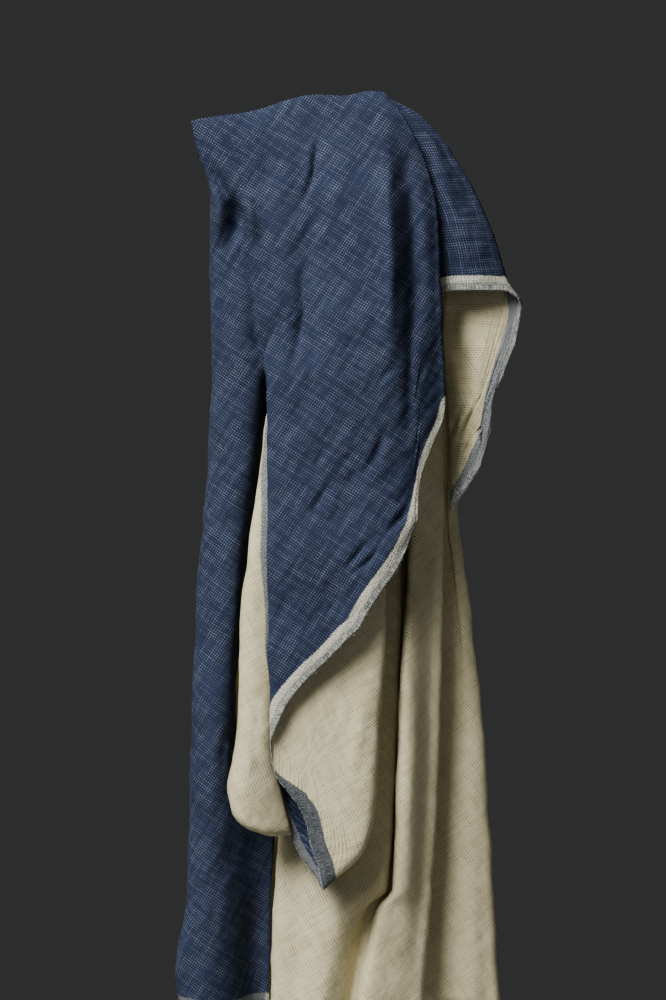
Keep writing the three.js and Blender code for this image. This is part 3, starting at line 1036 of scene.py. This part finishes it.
# How much of the woven edge is turned out of sight along each hem, and along the strip's side.
# Columns: drop, width, in millimetres.
HEM_TUCKS: dict[Hem, tuple[tuple[float, float], ...]] = {
    Hem.INNER: ((0, 5.5), (760, 5.5)),
    Hem.PLEAT: ((0, 12), (760, 12)),
    Hem.FLAP: ((242, 9.5), (254, 6), (289, 5), (304, 7.5), (320, 7), (333, 4.5), (360, 1.5), (385, 0)),
    Hem.LAYER: ((519, 12), (538, 11), (553, 5), (565, 0)),
    Hem.HOOD: ((167, 3), (200, 1), (236, 2.5), (253, 7.5), (272, 3), (296, 1), (320, 0)),
}
NO_TUCK: tuple[tuple[float, float], ...] = ((0, 0), (760, 0))
SIDE_TUCK: tuple[tuple[float, float], ...] = (
    (245, 5.5), (309, 3.5), (373, 2.3), (405, 3), (437, 4.7), (477, 7), (513, 11.5), (560, 16))


@dataclass
class Sheet:
    """The grid of the cloth with its creases, weave coordinates and edges, in millimetres."""

    grid: Grid
    spans: tuple[Span, ...] = (
        Span("back edge", "slot root right", 54.0, Reading.ALONG, "second edge", 420.0),
        Span("slot root right", "left turn", 54.0, Reading.ALONG, "first column", 420.0),
        Span("left turn", "panel end", 57.0, Reading.FOLLOWING, "left panel", 240.0),
        Span("panel end", "strip turn", 57.0, Reading.JOINED, "strip turn", 420.0),
        Span("strip turn", "flap fold", 57.0, Reading.JOINED, "hidden turn", 420.0),
        Span("flap fold", "pleat inner", 57.0, Reading.SEEN),
        Span("pleat inner", "hood edge", 3.0, Reading.ALONG, "hood front", 120.0),
    )
    plain_hems: tuple[Hem, ...] = (Hem.BACK, Hem.POUCH)
    shaded_hems: tuple[Hem, ...] = (Hem.INNER, Hem.LAYER)
    woven_side: str = "strip edge"
    hidden_inner: int = 8
    bare_rows: int = 8
    beside: int = 2
    reach: int = 12
    rim_steps: int = 4
    far_off: float = 60.0
    # The left panel's woven edge is painted in shade below this drop, fading in over the next distance.
    band_shade_from: float = 500.0
    band_shade_over: float = 20.0
    squeezed: tuple[str, str] = ("left panel", "flap middle")
    squeeze_margin: float = 4.0
    squeeze_over: float = 54.0
    seen_to: float = 290.0
    seen_over: float = 60.0
    crease_depth: float = 1.5
    crease_taper: float = 0.45
    crease_lips: float = 0.35
    crease_lip_spread: float = 6.0
    drag: float = 0.75
    flap_drag: float = 1.15
    broad_crumple: tuple[float, float] = (1.3, 0.022)
    small_crumple: tuple[float, float] = (0.4, 0.07)
    small_shift: float = 90.0
    long_crumples: tuple[tuple[float, ...], ...] = ((1.0, 0.085, 0.02, 3.0), (0.6, 0.19, 0.045, 9.0))
    crumple_fade: float = 14.0
    ease: float = 0.5
    at: np.ndarray = field(init=False)
    points: np.ndarray = field(init=False)
    weave: list[tuple[int, int, np.ndarray]] = field(init=False, default_factory=list)
    column_hems: list[Hem] = field(init=False)
    edge: np.ndarray = field(init=False)
    run: np.ndarray = field(init=False)
    # How far each point's woven edge is left out of the painted shade, 1 for none.
    pale: np.ndarray = field(init=False)
    fray_lines: list[list[tuple[int, int]]] = field(init=False)

    def __post_init__(self) -> None:
        """Hang the plain sheet, then crease it."""
        self.at, self.points = self.grid.make()
        self.spread_squeezed()
        self.even_panel()
        self.lay_weave()
        self.fold_creases()
        self.draw_in()
        self.crumple()
        self.find_edges()

    @property
    def drop(self) -> np.ndarray:
        """Drop of every point."""
        return self.grid.hold_drop - self.points[..., 2]

    def column(self, name: str) -> int:
        """The grid column on a line."""
        return int(np.argmin(np.abs(self.at - self.grid.folds.centre(name))))

    def part(self, first: str, last: str) -> slice:
        """The grid columns from one line to another."""
        return slice(self.column(first), self.column(last) + 1)

    def spread_squeezed(self, rounds: int = 160) -> None:
        """Spread the lines that run close together above the slit evenly over one smooth curve.

        Args:
            rounds: How often the curve is eased.
        """
        part = self.part(*self.squeezed)
        hold = self.squeeze(self.drop[:, part.start])
        for row in np.flatnonzero(hold):
            line = self.points[row, part]
            way = travelled(line)
            even = np.linspace(0, way[-1], len(line))
            smooth = np.stack([np.interp(even, way, values) for values in line.T], -1)
            for _ in range(rounds):
                smooth[1:-1] += self.ease * ((smooth[:-2] + smooth[2:]) / 2 - smooth[1:-1])
            self.points[row, part] += hold[row] * (smooth - line)

    def even_panel(self, rounds: int = 14, margin: int = 4) -> None:
        """Ease the left panel between its two turns.

        Args:
            rounds: How often it is eased.
            margin: How many columns beside its first turn stay as they are.
        """
        first, last = self.column("left turn") + margin, self.column("panel turn") - 1
        for _ in range(rounds):
            middle = (self.points[:, first - 1:last - 1] + self.points[:, first + 1:last + 1]) / 2
            self.points[:, first:last] += self.ease * (middle - self.points[:, first:last])

    def draw_in(self) -> None:
        """Draw the cloth along its own surface wherever the table says."""
        for pull in PULLS:
            part = self.part(pull.first, pull.last)
            away = np.hypot(self.points[:, part, 0] - pull.centre[0],
                            self.drop[:, part] - pull.centre[1])
            share = np.exp(-(away / pull.radius) ** 2)
            self.points[:, part, 0] += pull.across * share
            self.points[:, part, 2] -= pull.drop * share

    def fold_creases(self) -> None:
        """Press every crease of the table into the face that shows."""
        for lines, creases in CREASES.items():
            part = self.part(*lines)
            place = np.stack([self.points[:, part, 0], self.drop[:, part]], -1)
            for crease in creases:
                self.points[:, part, 1] -= self.crease_depth * crease.lift * self.press(crease, place)

    def press(self, crease: Crease, place: np.ndarray) -> np.ndarray:
        """How strongly a crease is pressed, tapered to its ends.

        Args:
            crease: The crease.
            place: Across and drop of every point.

        Returns:
            The share of its lift at every point.
        """
        path = np.array(crease.path, float)
        lengths = np.linalg.norm(np.diff(path, axis=0), axis=1)
        gap = np.full(place.shape[:2], np.inf)
        share = np.zeros(place.shape[:2])
        for index, (start, step) in enumerate(zip(path, np.diff(path, axis=0))):
            t = np.clip(((place - start) @ step) / lengths[index] ** 2, 0, 1)
            away = np.linalg.norm(place - start - t[..., None] * step, axis=-1)
            run = (lengths[:index].sum() + t * lengths[index]) / lengths.sum()
            share = np.where(away < gap, run, share)
            gap = np.minimum(away, gap)
        taper = np.clip(np.minimum(share, 1 - share) / self.crease_taper, 0, 1)
        near = (gap / crease.width) ** 2
        shape = np.exp(-near) - self.crease_lips * np.exp(-near / self.crease_lip_spread)
        return shape * eased(taper)

    def lay_weave(self) -> None:
        """Work out the two thread coordinates of every point, one pair for each span."""
        across, fallen = travelled(self.points, axis=1), travelled(self.points[..., 1:])
        left = self.column(self.squeezed[0])
        above = np.clip((self.seen_to - self.drop[:, left:left + 1]) / self.seen_over, 0, 1)
        for span in self.spans:
            u, down = self.points[..., 0], self.drop
            if span.reading is not Reading.SEEN:
                anchor = self.column(span.anchor)
                base = [np.interp(span.level, drop, way) for drop, way in zip(self.drop.T, fallen.T)]
                down = fallen - np.array(base) + span.level
                u = across - across[:, anchor:anchor + 1]
                if span.reading is Reading.FOLLOWING:
                    u = u + self.points[:, anchor:anchor + 1, 0]
            if span.reading in (Reading.JOINED, Reading.FOLLOWING):
                seen = across - across[:, left:left + 1] + self.points[:, left:left + 1, 0]
                seen[:, left:] = self.points[:, left:, 0]
                u = u + above * (seen - u)
                down = down + above * (self.drop - down)
            turn = math.radians(span.grain)
            threads = np.stack([u * math.sin(turn) + down * math.cos(turn),
                                down * math.sin(turn) - u * math.cos(turn)], -1)
            self.weave.append((self.column(span.first), self.column(span.last), threads))

    def squeeze(self, drop: np.ndarray) -> np.ndarray:
        """How far the lines above the slit are spread out at some drops, between 0 and 1."""
        hold = np.clip((self.grid.slit_drop - self.squeeze_margin - drop) / self.squeeze_over, 0, 1)
        return eased(hold)

    def normals(self) -> np.ndarray:
        """Work out the unit normals of the grid.

        Returns:
            The normal at every point, navy side out.
        """
        way = np.gradient(self.points, axis=1)
        fall = np.gradient(self.points, axis=0)
        normal = np.cross(fall, way)
        return normal / np.maximum(np.linalg.norm(normal, axis=-1, keepdims=True), TINY)

    def crumple(self) -> None:
        """Give the cloth the unevenness of washed linen, longest along the hem's threads."""
        flap = range(self.column("flap fold"), self.column("flap turn") + 1)
        lift = np.zeros(self.points.shape[:2])
        for first, last, threads in self.weave:
            for c in range(first, last + 1):
                drag = self.flap_drag if c in flap else self.drag
                for r in range(len(self.points)):
                    lift[r, c] = self.crumple_at(self.points[r, c], threads[r, c], drag)
        fade = np.clip((self.drop - self.drop[0]) / self.crumple_fade, 0, 1)
        self.points += self.normals() * (lift * fade)[..., None]

    def crumple_at(self, point: np.ndarray, thread: np.ndarray, drag: float) -> float:
        """Work out how far one point is lifted.

        Args:
            point: Where it is.
            thread: Its thread coordinates.
            drag: The strength of the crumples along the threads.

        Returns:
            The lift.
        """
        height, scale = self.broad_crumple
        lift = height * noise.noise(Vector(point) * scale)
        height, scale = self.small_crumple
        lift += height * noise.noise(Vector((point[0] + self.small_shift, *point[1:])) * scale)
        for share, wide, long, layer in self.long_crumples:
            lift += share * drag * noise.noise(Vector((thread[0] * wide, thread[1] * long, layer)))
        return lift

    def rim(self, places: list[tuple[int, int]]) -> np.ndarray:
        """Set points along a free edge, a few to a step of the grid.

        Args:
            places: Rows and columns of the edge.

        Returns:
            The points, each with the distance travelled so far.
        """
        line = np.array([self.points[place] for place in places])
        where = np.linspace(0, len(line) - 1, (len(line) - 1) * self.rim_steps + 1)
        return np.stack([np.interp(where, np.arange(len(line)), column)
                         for column in (*line.T, travelled(line))], -1)

    def find_edges(self) -> None:
        """Find how far each point is from a woven edge, how far along it, and how pale its woven edge is
        painted, 0 meaning painted shade.
        """
        rows, count = self.points.shape[:2]
        self.edge = np.full((rows, count), self.far_off)
        self.run = np.zeros((rows, count))
        self.column_hems = [self.grid.folds.hems[int(place)] for place in self.at]
        panel = range(self.column("left turn"), self.column("panel end"))
        chains = self.woven_chains(panel)
        self.fray_lines = [[(rows - 1, c) for c in chain] for chain in chains]
        for chain in chains:
            self.edge_hem(chain)
        self.edge_side()
        # The woven edge is painted in shade on the inner and layer hems and on the left panel below a
        # drop of about 500 mm; on the layer hem the edge is also woven darker.
        shaded = np.array([hem in self.shaded_hems or c in panel
                           for c, hem in enumerate(self.column_hems)])
        fall = np.clip((self.band_shade_from - self.drop) / self.band_shade_over, 0, 1)
        self.pale = np.where(shaded, fall, 1.0)

    def woven_chains(self, panel: range) -> list[list[int]]:
        """Find the runs of neighbouring columns that end on a woven edge.

        Args:
            panel: Columns of the panel, which all do.

        Returns:
            The columns of each run.
        """
        hems = self.column_hems
        inner = [c for c, hem in enumerate(hems) if hem is Hem.INNER][:self.hidden_inner]
        woven = [c for c, hem in enumerate(hems)
                 if (hem not in self.plain_hems or c in panel) and c not in inner]
        cuts = np.flatnonzero(np.diff(woven) > 1) + 1
        return [chain.tolist() for chain in np.split(np.array(woven), cuts)]

    def edge_hem(self, chain: list[int]) -> None:
        """Measure the points near the lower end of a run of columns.

        Args:
            chain: The columns.
        """
        last_row, steps = len(self.points) - 1, self.rim_steps
        rim = self.rim([(last_row, c) for c in chain])
        tucks = {c: self.tuck(self.column_hems[c], self.drop[-1, c]) for c in chain}
        hidden = np.interp(np.arange(len(rim)) / steps, np.arange(len(chain)), list(tucks.values()))
        for c in range(chain[0] - self.beside, min(chain[-1] + self.beside + 1, len(self.at))):
            low = max(0, (c - chain[0] - self.reach) * steps)
            near = slice(low, max(low + 1, (c - chain[0] + self.reach) * steps))
            own = tucks.get(c, 0.0) if self.column_hems[c] is Hem.LAYER else 0.0
            self.take_nearest(slice(None), c, rim[near], np.maximum(hidden[near], own))

    def edge_side(self) -> None:
        """Measure the points near the upright woven edge of the strip."""
        rows, steps = len(self.points), self.rim_steps
        side, start = self.column(self.woven_side), self.grid.rows_to_slit - 1
        rim = self.rim([(r, side) for r in range(start, rows)])
        self.fray_lines.append([(r, side) for r in range(start + self.bare_rows, rows)])
        tuck = np.array(SIDE_TUCK, float)
        for c in range(side, side + self.reach):
            for r in range(start, rows):
                low = max(0, (r - start - self.reach) * steps)
                hidden = float(np.interp(self.drop[r, c], tuck[:, 0], tuck[:, 1]))
                self.take_nearest(r, c, rim[low:(r - start + self.reach) * steps], hidden)

    def tuck(self, hem: Hem, drop: float) -> float:
        """How much of the woven edge is turned out of sight at a place on a hem."""
        table = np.array(HEM_TUCKS.get(hem, NO_TUCK), float)
        return float(np.interp(drop, table[:, 0], table[:, 1]))

    def take_nearest(self, rows: slice | int, column: int, rim: np.ndarray,
                     hidden: np.ndarray | float = 0) -> None:
        """Keep the nearest of some rim points where it is nearer than any before.

        Args:
            rows: Rows of the points that are measured.
            column: Their column.
            rim: The rim points, each with the distance travelled.
            hidden: How much of the woven edge is out of sight at each rim point.
        """
        held = self.points[rows, column].reshape(-1, 1, 3)
        gap = np.linalg.norm(held - rim[None, :, :3], axis=-1) + hidden
        best = gap.argmin(axis=1)
        nearest = gap[np.arange(len(best)), best]
        shape = np.shape(self.edge[rows, column])
        nearest, run = nearest.reshape(shape), rim[best, 3].reshape(shape)
        nearer = nearest < self.edge[rows, column]
        self.run[rows, column] = np.where(nearer, run, self.run[rows, column])
        self.edge[rows, column] = np.where(nearer, nearest, self.edge[rows, column])


@dataclass
class Fringe:
    """Short loose thread ends on the woven edges, in metres."""

    name: str = "frayed_edge"
    spacing: float = 0.00055
    shortest: float = 0.0006
    longest: float = 0.0021
    thick: float = 0.00016
    sides: int = 3
    point: float = 0.4
    rise_spread: float = 0.25
    spread: float = 0.35
    length_power: float = 2.5
    sunk: float = 0.45
    inward: int = 3
    seed: int = 11

    @staticmethod
    def at(way: np.ndarray, spot: float, rows: np.ndarray) -> Vector:
        """Read a line of vectors at a distance along it."""
        return Vector([np.interp(spot, way, values) for values in rows.T])

    def build(self, sheet: Sheet) -> bpy.types.Object:
        """Set thread ends along every woven edge.

        Args:
            sheet: The cloth that they belong to.

        Returns:
            The joined thread ends.
        """
        chance = np.random.default_rng(self.seed)
        bm = bmesh.new()
        side = sheet.column(sheet.woven_side)
        normals = sheet.normals()
        for places in sheet.fray_lines:
            line = np.array([sheet.points[place] for place in places]) * MM
            inward = [(row, column + self.inward) if column == side else (row - self.inward, column)
                      for row, column in places]
            out = line - np.array([sheet.points[place] for place in inward]) * MM
            out /= np.linalg.norm(out, axis=1, keepdims=True)
            upright = np.array([normals[place] for place in places])
            way = travelled(line)
            for spot in np.arange(0, way[-1], self.spacing):
                spot += chance.uniform(-0.5, 0.5) * self.spacing
                lift = self.at(way, spot, upright) * chance.normal(0, self.rise_spread)
                aim = self.at(way, spot, out) + lift + Vector(chance.normal(0, self.spread, 3))
                share = chance.random() ** self.length_power
                length = self.shortest + (self.longest - self.shortest) * share
                start = self.at(way, spot, line) + aim.normalized() * (length * self.sunk)
                turn = aim.to_track_quat("Z", "X").to_matrix().to_4x4()
                bmesh.ops.create_cone(
                    bm, segments=self.sides, radius1=self.thick, radius2=self.thick * self.point,
                    depth=length, cap_ends=True, matrix=Matrix.Translation(start) @ turn)
        ends = placed(self.name, bm)
        mesh = ends.data
        mesh.materials.append(Frayed().material())
        LOG.info("%s: %d faces", self.name, len(mesh.polygons))
        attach(ends, "root")
        return ends


@dataclass
class DrapedCloth:
    """The hung length of double gauze."""

    name: str = "linen_cloth"
    thickness: float = 0.0014
    flat: tuple[float, float] = (0.95, 0.76)

    def build(self, sheet: Sheet, ends: bpy.types.Object) -> bpy.types.Object:
        """Args:
            sheet: The points of the cloth.
            ends: The loose thread ends on it; not used.

        Returns:
            The cloth.
        """
        rows, count = sheet.points.shape[:2]
        bm = bmesh.new()
        bm.loops.layers.uv.new("weave")
        # The pale attribute carries the painted shade of the woven edges to the materials.
        values = {"edge": sheet.edge * MM, "run": sheet.run * MM, "pale": sheet.pale}
        layers = {name: bm.verts.layers.float.new(name) for name in values}
        bmesh.ops.create_grid(bm, x_segments=count - 1, y_segments=rows - 1, size=1.0)
        bm.verts.ensure_lookup_table()
        bm.faces.ensure_lookup_table()
        verts = [[bm.verts[row * count + column] for column in range(count)] for row in range(rows)]
        for row in range(rows):
            for column in range(count):
                vert = verts[row][column]
                vert.co = Vector(sheet.points[row, column]) * MM
                for name, layer in layers.items():
                    vert[layer] = values[name][row, column]
        cells = [[bm.faces[row * (count - 1) + column] for column in range(count - 1)]
                 for row in range(rows - 1)]
        self.lay_weave(bm, cells, sheet)
        self.open_slit(bm, verts, cells, sheet)
        self.close_ridge(bm, verts, sheet)
        bmesh.ops.reverse_faces(bm, faces=bm.faces)
        return self.finish(bm)

    def lay_weave(self, bm: bmesh.types.BMesh, cells: list, sheet: Sheet) -> None:
        """Write the thread coordinates to the UV map.

        Args:
            bm: The cloth.
            cells: Its faces, row by row.
            sheet: The thread coordinates.
        """
        layer = bm.loops.layers.uv.active
        count = len(cells[0]) + 1
        for first, last, threads in sheet.weave:
            scaled = threads * MM
            for row in cells:
                for cell in row[first:last]:
                    for loop in cell.loops:
                        r, c = divmod(loop.vert.index, count)
                        loop[layer].uv = scaled[r, c]

    def open_slit(self, bm: bmesh.types.BMesh, verts: list, cells: list, sheet: Sheet) -> None:
        """Part the front layers below the slit's start and join them above it.

        Args:
            bm: The cloth.
            verts: Its vertices, row by row, where the joined ones become one.
            cells: Its faces, row by row.
            sheet: The lines and rows of the grid.
        """
        panel_end, rows = sheet.column("panel end"), sheet.grid.rows_to_slit
        bmesh.ops.delete(bm, geom=[row[panel_end] for row in cells], context="FACES_ONLY")
        bmesh.ops.delete(bm, geom=[edge for edge in bm.edges if not edge.link_faces], context="EDGES")
        pairs = {verts[row][panel_end + 1]: verts[row][panel_end] for row in range(rows)}
        bmesh.ops.weld_verts(bm, targetmap=pairs)
        for row in range(rows):
            verts[row][panel_end + 1] = verts[row][panel_end]

    @staticmethod
    def edges(bm: bmesh.types.BMesh, chain: list) -> list:
        """The edges along a chain of vertices."""
        return [bm.edges.get(pair) for pair in zip(chain, chain[1:])]

    def close_ridge(self, bm: bmesh.types.BMesh, verts: list, sheet: Sheet) -> None:
        """Bridge the front's top row to the back's, from the left corner to the right end.

        Args:
            bm: The cloth.
            verts: Its vertices, row by row.
            sheet: The lines of the grid.
        """
        corner, right, hood = (sheet.column(name) for name in ("left turn", "right turn", "hood turn"))
        layer = bm.loops.layers.uv.active
        front = list(dict.fromkeys(verts[0][corner + 1:hood + 1]))
        back = verts[0][right:corner][::-1]
        uv_of = {vert: vert.link_loops[0][layer].uv.copy() for vert in front}
        loops = self.edges(bm, front) + self.edges(bm, back)
        made = bmesh.ops.bridge_loops(bm, edges=loops)["faces"]
        made.append(bm.faces.new((verts[0][corner], front[0], back[0])))
        for face in made:
            anchor = next((vert for vert in face.verts if vert in uv_of), front[0])
            for loop in face.loops:
                away = loop.vert.co - anchor.co
                loop[layer].uv = uv_of.get(loop.vert, uv_of[anchor] - Vector((away.y, away.y)))

    def finish(self, bm: bmesh.types.BMesh) -> bpy.types.Object:
        """Turn the sheet into a dressed object with a thickness.

        Args:
            bm: The cloth.

        Returns:
            The cloth.
        """
        cloth = placed(self.name, bm)
        mesh = cloth.data
        mesh.materials.append(NAVY.material())
        mesh.materials.append(NATURAL.material())
        for polygon in mesh.polygons:
            polygon.use_smooth = True
        shell = cloth.modifiers.new("thickness", "SOLIDIFY")
        shell.thickness = self.thickness
        shell.offset = 0.0
        shell.material_offset = 1
        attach(cloth, "root")
        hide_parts(NODE)
        return cloth


# ---------------------------------------------------------------- stage


@dataclass(frozen=True)
class Lamp:
    """A square soft light, in metres and watts."""

    name: str
    place: tuple[float, float, float]
    size: float
    power: float
    spread: float = 46.0

    def build(self, target: Vector) -> None:
        """Hang the light.

        Args:
            target: The point that it faces.
        """
        data = bpy.data.lights.new(self.name, "AREA")
        data.size, data.energy, data.spread = self.size, self.power, math.radians(self.spread)
        lamp = linked(self.name, data)
        lamp.location = self.place
        lamp.rotation_euler = (target - lamp.location).to_track_quat("-Z", "Y").to_euler()


@dataclass
class Stage:
    """Floor, light and camera, in metres."""

    floor_drop: float = 1.75
    floor_radius: float = 2.0
    floor_segments: int = 128
    aim_drop: float = 0.29
    eye_drop: float = 0.321
    eye_across: float = -0.0096
    distance: float = 2.6
    frame_height: float = 0.80
    sensor: float = 36.0
    elevation: float = 0.5
    surround: Colour = (0.80, 0.81, 0.83, 1.0)
    surround_strength: float = 0.042
    lamps: tuple[Lamp, ...] = (
        Lamp("key", (-1.2, -1.5, 1.6), 1.8, 31.0),
        Lamp("front", (0.3, -2.8, 0.0), 1.2, 0.45),
        Lamp("rear", (-0.3, 2.5, 0.9), 1.2, 9.0),
    )

    def build(self) -> None:
        """Make the stage."""
        self.floor()
        self.lights()
        self.camera()

    def floor(self) -> None:
        """A plain pale floor below the hem."""
        bm = bmesh.new()
        bmesh.ops.create_circle(
            bm, cap_ends=True, segments=self.floor_segments, radius=self.floor_radius)
        bmesh.ops.translate(bm, verts=bm.verts, vec=(0, 0, -self.floor_drop))
        floor = placed("floor", bm)
        floor.data.materials.append(Paint().material())

    def lights(self) -> None:
        """A soft key from the upper left, two weaker lamps and an even surround."""
        world = bpy.data.worlds.new("surround")
        world.use_nodes = True
        back = world.node_tree.nodes["Background"]
        back.inputs[0].default_value = self.surround
        back.inputs[1].default_value = self.surround_strength
        bpy.context.scene.world = world
        for lamp in self.lamps:
            lamp.build(Vector((0, 0, -self.aim_drop)))

    def camera(self) -> None:
        """A long lens about level with the middle of the cloth."""
        data = bpy.data.cameras.new("camera")
        data.sensor_fit = "AUTO"
        data.sensor_width = self.sensor
        data.lens = self.sensor * self.distance / self.frame_height
        camera = linked("camera", data)
        tilt = math.radians(self.elevation)
        target = Vector((self.eye_across, 0, -self.eye_drop))
        back = Vector((0, -math.cos(tilt), math.sin(tilt)))
        camera.location = target + back * self.distance
        camera.rotation_euler = (-back).to_track_quat("-Z", "Y").to_euler()
        bpy.context.scene.camera = camera


def main() -> None:
    """Build the stage and the cloth."""
    logging.basicConfig(level=logging.INFO, format="%(name)s %(message)s")
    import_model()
    Stage().build()
    sheet = Sheet(Grid(Folds()))
    ends = Fringe().build(sheet)
    DrapedCloth().build(sheet, ends)


if __name__ == "__main__":
    main()
